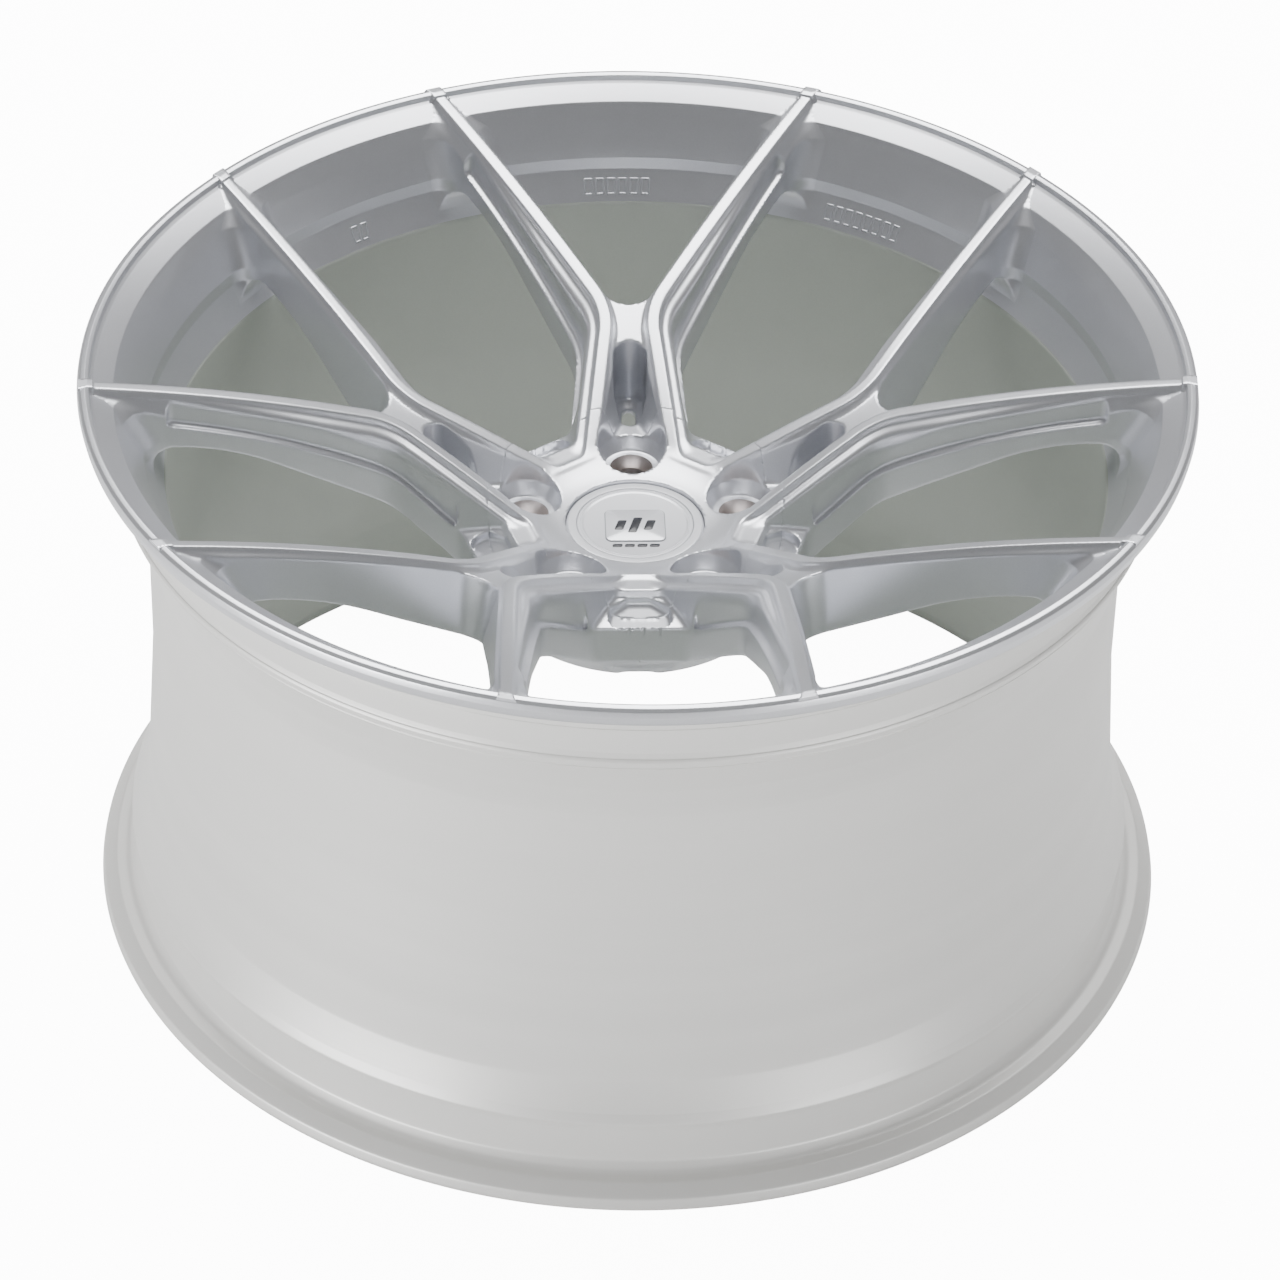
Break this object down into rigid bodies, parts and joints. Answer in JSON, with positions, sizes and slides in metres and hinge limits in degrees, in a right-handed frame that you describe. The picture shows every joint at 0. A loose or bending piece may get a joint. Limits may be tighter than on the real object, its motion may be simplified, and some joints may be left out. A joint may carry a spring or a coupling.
{
  "type": "forged wheel rim",
  "caption": "One-piece forged wheel rim: Y-shaped spokes in a deep barrel between two tyre flanges, countersunk lug holes round a snap-in centre cap, and a clamp-in valve.",
  "frame": {"origin": "centre of the plane that the rear flange rests on", "axes": "+Z along the wheel's axis towards its face, +Y along the middle of the first Y-shaped spoke"},
  "size_m": [0.543, 0.543, 0.3086],
  "materials": {
    "silver_paint": "satin silver",
    "barrel_metal": "turned and clear coated",
    "bare_seat": "bare, machined",
    "cap_silver": "silver lacquer",
    "black_ink": "printed",
    "spring_steel": "drawn wire",
    "black_nylon": "moulded",
    "rubber": "moulded",
    "anodised": "clear anodised",
    "brass": "turned"
  },
  "bodies": {
    "wheel": {"rim_barrel": "barrel_metal", "wheel_hub": "silver_paint", "y_spoke_1": "silver_paint", "y_spoke_2": "silver_paint", "y_spoke_3": "silver_paint", "y_spoke_4": "silver_paint", "y_spoke_5": "silver_paint", "lug_seat_1": "bare_seat", "lug_seat_2": "bare_seat", "lug_seat_3": "bare_seat", "lug_seat_4": "bare_seat", "lug_seat_5": "bare_seat", "hub_ring": "black_nylon", "valve_stem": "anodised", "valve_seal": "rubber", "valve_washer": "anodised", "valve_nut": "anodised", "valve_core": "brass"},
    "centre_cap": {"cap_body": "cap_silver", "cap_plate": "cap_silver", "cap_badge": "black_ink", "cap_spring_ring": "spring_steel"},
    "core_pin": {"valve_core_pin": "brass"},
    "dust_cap_seal": {"valve_cap_seal": "rubber"},
    "dust_cap": {"valve_cap": "anodised"}
  },
  "joints": [
    {"name": "cap_pull", "type": "slide", "parent": "wheel", "child": "centre_cap", "axis": [0, 0, 1], "range_m": [0, 0.03]},
    {"name": "core_pin_press", "type": "slide", "parent": "wheel", "child": "core_pin", "axis": [0.1977, 0.9303, -0.309], "range_m": [0, 0.0012], "stiffness_N_per_m": 400, "springref_m": -0.001},
    {"name": "dust_cap_lift", "type": "slide", "parent": "wheel", "child": "dust_cap_seal", "axis": [-0.1977, -0.9303, 0.309], "range_m": [0, 0.00714]},
    {"name": "dust_cap_turn", "type": "hinge", "parent": "dust_cap_seal", "child": "dust_cap", "pos_m": [0.04186, 0.19696, 0.23883], "axis": [-0.1977, -0.9303, 0.309], "range_deg": [0, 3240]}
  ],
  "couplings": [
    {"joint": "dust_cap_turn", "follows": "dust_cap_lift", "rad_per_m": 7913.3}
  ]
}
